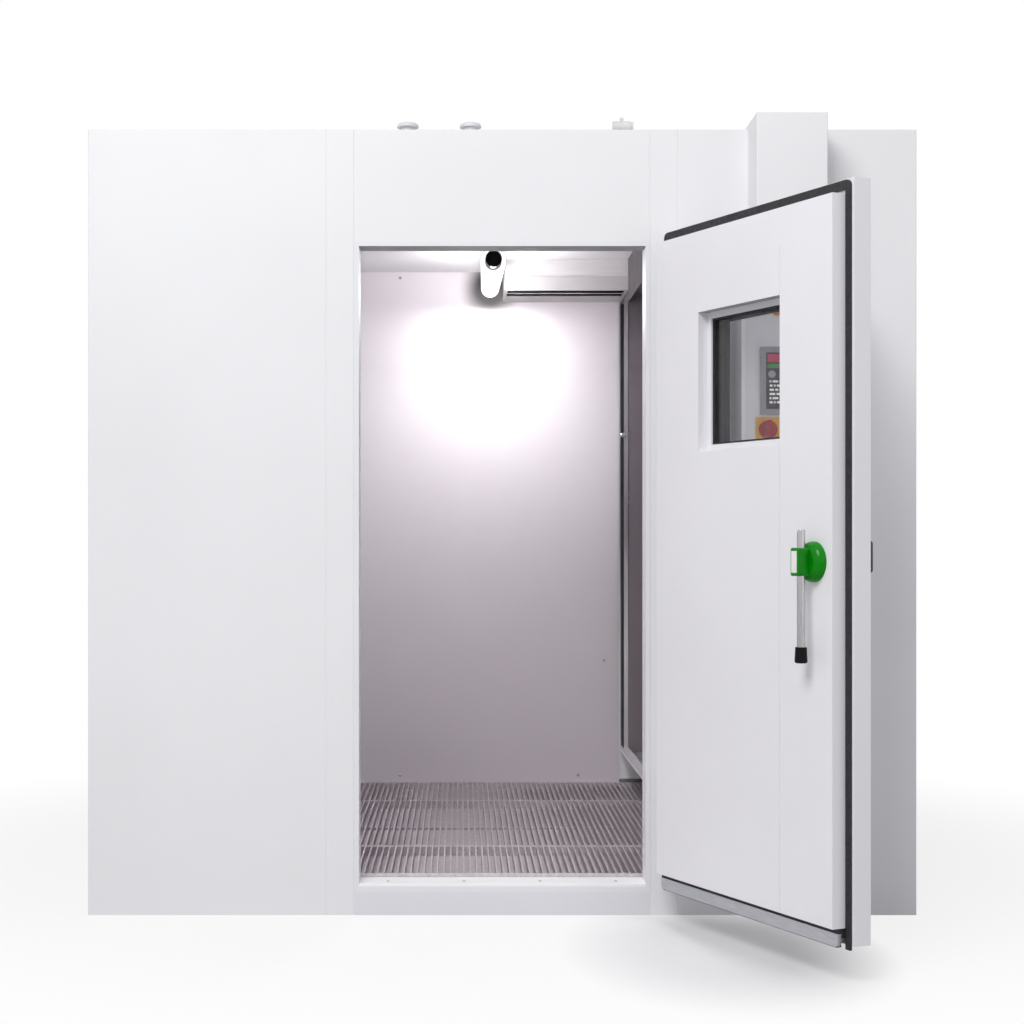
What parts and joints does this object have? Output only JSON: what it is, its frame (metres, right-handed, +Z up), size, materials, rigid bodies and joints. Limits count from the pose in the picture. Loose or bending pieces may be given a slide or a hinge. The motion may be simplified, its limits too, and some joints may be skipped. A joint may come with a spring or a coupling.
{
  "type": "environmental test chamber",
  "caption": "Walk-in environmental test chamber of insulated panels with a windowed swing door, a conditioning unit behind a sheet wall and a control cabinet.",
  "frame": {"origin": "on the floor, under the middle of the panelled box", "axes": "+Z up, +Y from the door side to the back, +X to the right seen from the door side"},
  "size_m": [2.6, 3.3085, 2.549],
  "materials": {
    "panel_white": "satin",
    "panel_grey": "satin",
    "frame_aluminium": "satin",
    "stainless": "brushed",
    "galvanised": "satin",
    "black_rubber": "matte",
    "pane_glass": "gloss",
    "lamp_glass": "satin",
    "black_plastic": "matte",
    "green_plastic": "gloss",
    "hinge_steel": "satin",
    "dark_metal": "satin",
    "cabinet_paint": "satin",
    "yellow_plate": "satin",
    "red_knob": "gloss",
    "orange_lens": "gloss",
    "screen_glass": "gloss",
    "grey_plastic": "matte"
  },
  "bodies": {
    "chamber": {"floor_panel": "panel_white", "front_panels": "panel_white", "door_posts": "panel_white", "lintel_panel": "panel_white", "sill_panel": "panel_grey", "left_wall_panels": "panel_white", "right_wall_panels": "panel_white", "rear_wall_panels": "panel_white", "roof_panels": "panel_white", "door_frame": "frame_aluminium", "threshold_plate": "stainless", "floor_grates": "galvanised", "rear_lining": "stainless", "lamp_lens": "lamp_glass", "lamp_cap": "black_plastic", "lamp_mounts": "stainless", "unit_plinth": "panel_grey", "unit_side_panel": "stainless", "drip_pan": "stainless", "evaporator_coil": "frame_aluminium", "heater_battery": "stainless", "fan_deck": "galvanised", "fan_shrouds": "galvanised", "fan_motors": "dark_metal", "air_duct": "stainless", "climate_sensor": "stainless", "frame_hinge_leaves": "hinge_steel", "hinge_pins": "hinge_steel", "cabinet_body": "cabinet_paint", "mounting_plate": "galvanised", "circuit_breakers": "grey_plastic", "cable_column": "panel_white", "roof_vents": "grey_plastic", "roof_valve": "grey_plastic"},
    "door": {"door_flange": "panel_white", "door_plug": "panel_white", "door_gasket": "black_rubber", "sweep_holder": "frame_aluminium", "sweep_seals": "black_rubber", "window_frames": "frame_aluminium", "window_panes": "pane_glass", "window_seals": "black_rubber", "leaf_hinge_leaves": "hinge_steel", "lock_case": "dark_metal", "lever_dome": "green_plastic"},
    "handle": {"lever_hub": "green_plastic", "lever_tube": "stainless", "lever_tip": "black_plastic", "handle_spindle": "stainless", "outer_handle": "dark_metal"},
    "latch": {"latch_bolt": "hinge_steel"},
    "cabinet_door": {"cabinet_door": "cabinet_paint", "switch_plate": "yellow_plate", "controller_bezel": "black_plastic", "controller_screen": "screen_glass", "signal_lamp": "orange_lens"},
    "main_switch": {"switch_knob": "red_knob"},
    "cabinet_lock": {"cabinet_lock": "hinge_steel"},
    "fan_1": {"fan_rotor_1": "black_plastic"},
    "fan_2": {"fan_rotor_2": "black_plastic"}
  },
  "joints": [
    {"name": "door_swing", "type": "hinge", "parent": "chamber", "child": "door", "pos_m": [0.5016, -1.2185, 1.115], "axis": [0, 0, 1], "range_deg": [-115, 5]},
    {"name": "handle_turn", "type": "hinge", "parent": "door", "child": "handle", "pos_m": [0.81398, -2.02682, 1.118], "axis": [0.9063, 0.4226, 0], "range_deg": [0, 90]},
    {"name": "latch_slide", "type": "slide", "parent": "door", "child": "latch", "axis": [0.4226, -0.9063, 0], "range_m": [0, 0.018]},
    {"name": "cabinet_door_swing", "type": "hinge", "parent": "chamber", "child": "cabinet_door", "pos_m": [1.032, -1.44, 1.6], "axis": [0, 0, 1], "range_deg": [0, 100]},
    {"name": "main_switch_turn", "type": "hinge", "parent": "cabinet_door", "child": "main_switch", "pos_m": [0.7947, -1.45, 1.508], "axis": [0, -1, 0], "range_deg": [0, 90]},
    {"name": "cabinet_lock_turn", "type": "hinge", "parent": "cabinet_door", "child": "cabinet_lock", "pos_m": [0.74, -1.45, 1.3], "axis": [0, -1, 0], "range_deg": [0, 90]},
    {"name": "fan_1_spin", "type": "hinge", "parent": "chamber", "child": "fan_1", "pos_m": [0.89, -0.5, 2.201], "axis": [0, 0, 1], "continuous": true},
    {"name": "fan_2_spin", "type": "hinge", "parent": "chamber", "child": "fan_2", "pos_m": [0.89, 0.5, 2.201], "axis": [0, 0, 1], "continuous": true}
  ],
  "couplings": [
    {"joint": "latch_slide", "follows": "handle_turn", "m_per_rad": 0.011459}
  ]
}
